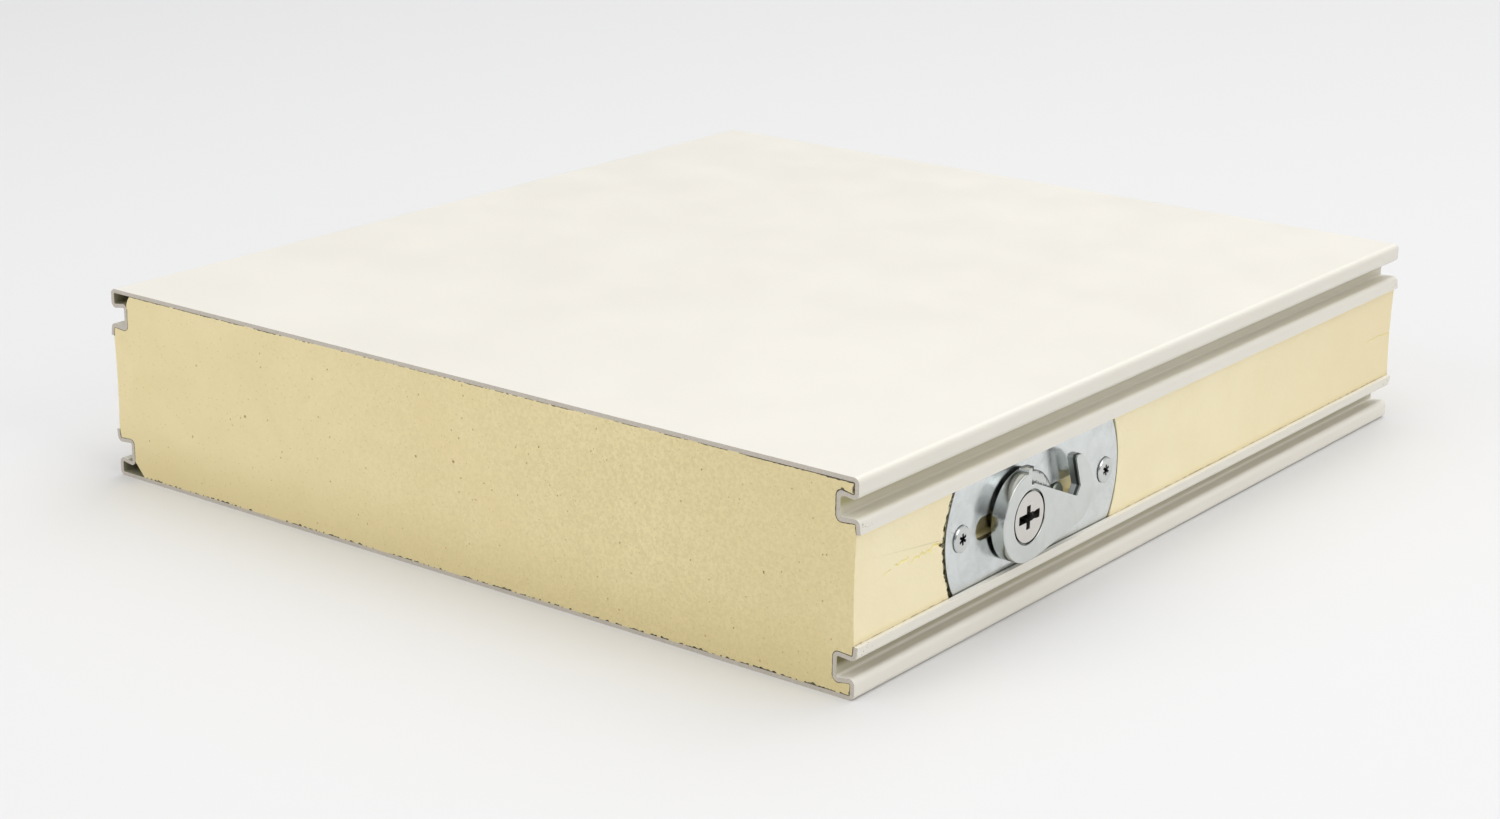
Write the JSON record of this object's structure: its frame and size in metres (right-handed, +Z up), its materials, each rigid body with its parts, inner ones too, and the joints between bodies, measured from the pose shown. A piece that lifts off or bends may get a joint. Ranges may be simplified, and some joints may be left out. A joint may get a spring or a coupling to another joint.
{
  "type": "insulated sandwich panel",
  "caption": "Block of insulated cold-room sandwich panel: foam core between folded steel skins, grooved joint edges and a turning hook lock.",
  "frame": {"origin": "centre of the flat underside: half way between the two flange planes and half way along the panel", "axes": "+X across the panel towards the joint edge with the lock, +Y along the joints, +Z up through the thickness"},
  "size_m": [0.2853, 0.3086, 0.06],
  "materials": {
    "coated_steel": "satin off-white coil coating, bare grey cut edges",
    "foam": "sawn and moulded rigid polyurethane foam, matt",
    "zinc_plate": "pale blue zinc plating, satin with fine scratches",
    "zinc_screw": "zinc-plated, satin",
    "polished_zinc": "bright zinc plating, polished",
    "pin_steel": "nickel-plated, fine satin"
  },
  "bodies": {
    "panel": {"skin_top": "coated_steel", "skin_bottom": "coated_steel", "foam_core": "foam", "lock_plate": "zinc_plate", "screw_near": "zinc_screw", "screw_far": "zinc_screw", "guide_stud": "pin_steel"},
    "hook": {"lock_hook": "polished_zinc", "key_pin": "pin_steel"}
  },
  "joints": [
    {"name": "hook_turn", "type": "hinge", "parent": "panel", "child": "hook", "pos_m": [0.1384, -0.0792, 0.03], "axis": [1, 0, 0], "range_deg": [0, 90]}
  ]
}
